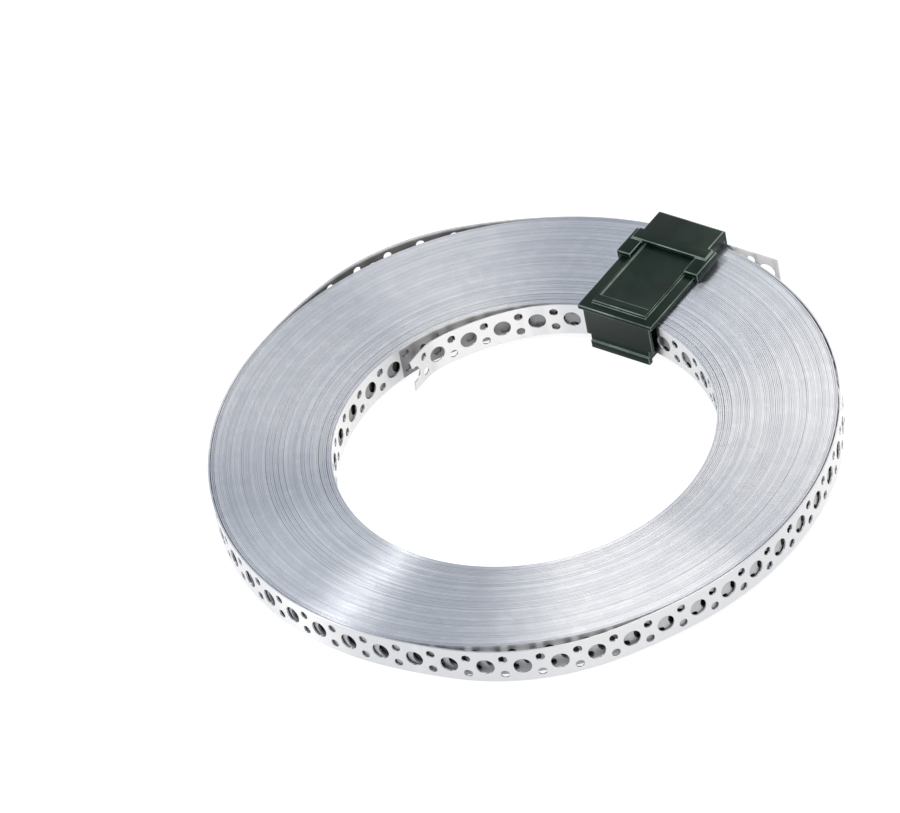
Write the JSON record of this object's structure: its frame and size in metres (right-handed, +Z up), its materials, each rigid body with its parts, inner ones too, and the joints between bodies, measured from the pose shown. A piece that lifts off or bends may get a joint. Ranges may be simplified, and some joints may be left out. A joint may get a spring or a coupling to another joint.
{
  "type": "roll of perforated steel strap",
  "caption": "Flat-lying roll of galvanised steel strap with a row of large holes and pairs of small holes, kept shut by a sliding black plastic clip.",
  "frame": {"origin": "on the coil's axis, at the floor that the clip's underside meets", "axes": "+Z up along the coil's axis, +X from the axis to the clip"},
  "size_m": [0.2818, 0.2792, 0.0271],
  "materials": {
    "galvanised_steel": "galvanised, satin",
    "clip_plastic": "moulded, satin"
  },
  "bodies": {
    "roll": {"strap_coil": "galvanised_steel", "clip_inner_half": "clip_plastic"},
    "clip_outer": {"clip_outer_half": "clip_plastic"}
  },
  "joints": [
    {"name": "clip_slide", "type": "slide", "parent": "roll", "child": "clip_outer", "axis": [1, 0, 0], "range_m": [0, 0.015]}
  ]
}
